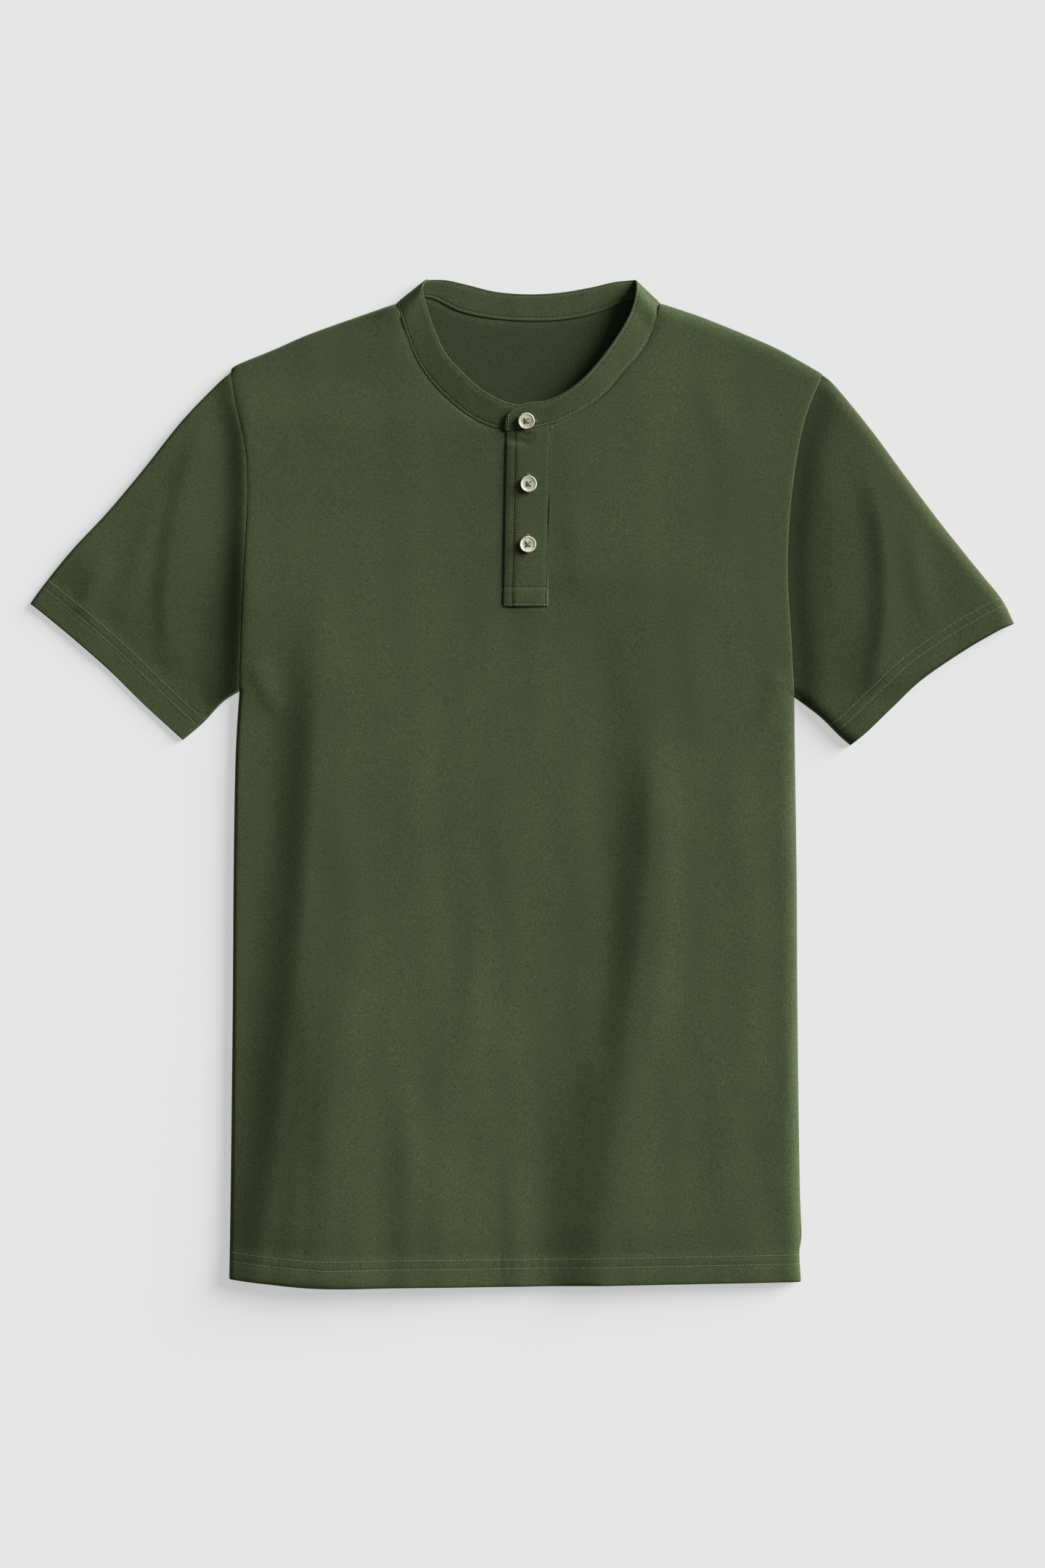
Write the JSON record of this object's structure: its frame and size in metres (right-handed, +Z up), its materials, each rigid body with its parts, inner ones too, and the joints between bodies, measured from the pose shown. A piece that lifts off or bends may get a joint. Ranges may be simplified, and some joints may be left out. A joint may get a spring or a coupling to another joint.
{
  "type": "short-sleeved henley shirt",
  "caption": "Short-sleeved henley shirt in cotton jersey, laid flat and face up, with a narrow neckband, a buttoned placket, set-in sleeves and a straight hem.",
  "frame": {"origin": "on the surface that the shirt lies on, under the middle of its bounding box", "axes": "+X towards the wearer's left sleeve, +Y towards the neck, +Z up out of the surface"},
  "size_m": [0.7182, 0.7355, 0.0149],
  "materials": {
    "jersey": "soft brushed cotton jersey, dark olive green with a faint heather",
    "band": "the same jersey folded double and pressed",
    "button": "mottled ivory, satin gloss"
  },
  "bodies": {
    "root": {"back": "jersey", "front": "jersey", "sleeve_right": "jersey", "sleeve_left": "jersey", "neckband": "band", "placket_under": "band", "placket_upper": "band", "button_top": "button", "button_middle": "button", "button_lower": "button"}
  },
  "joints": []
}
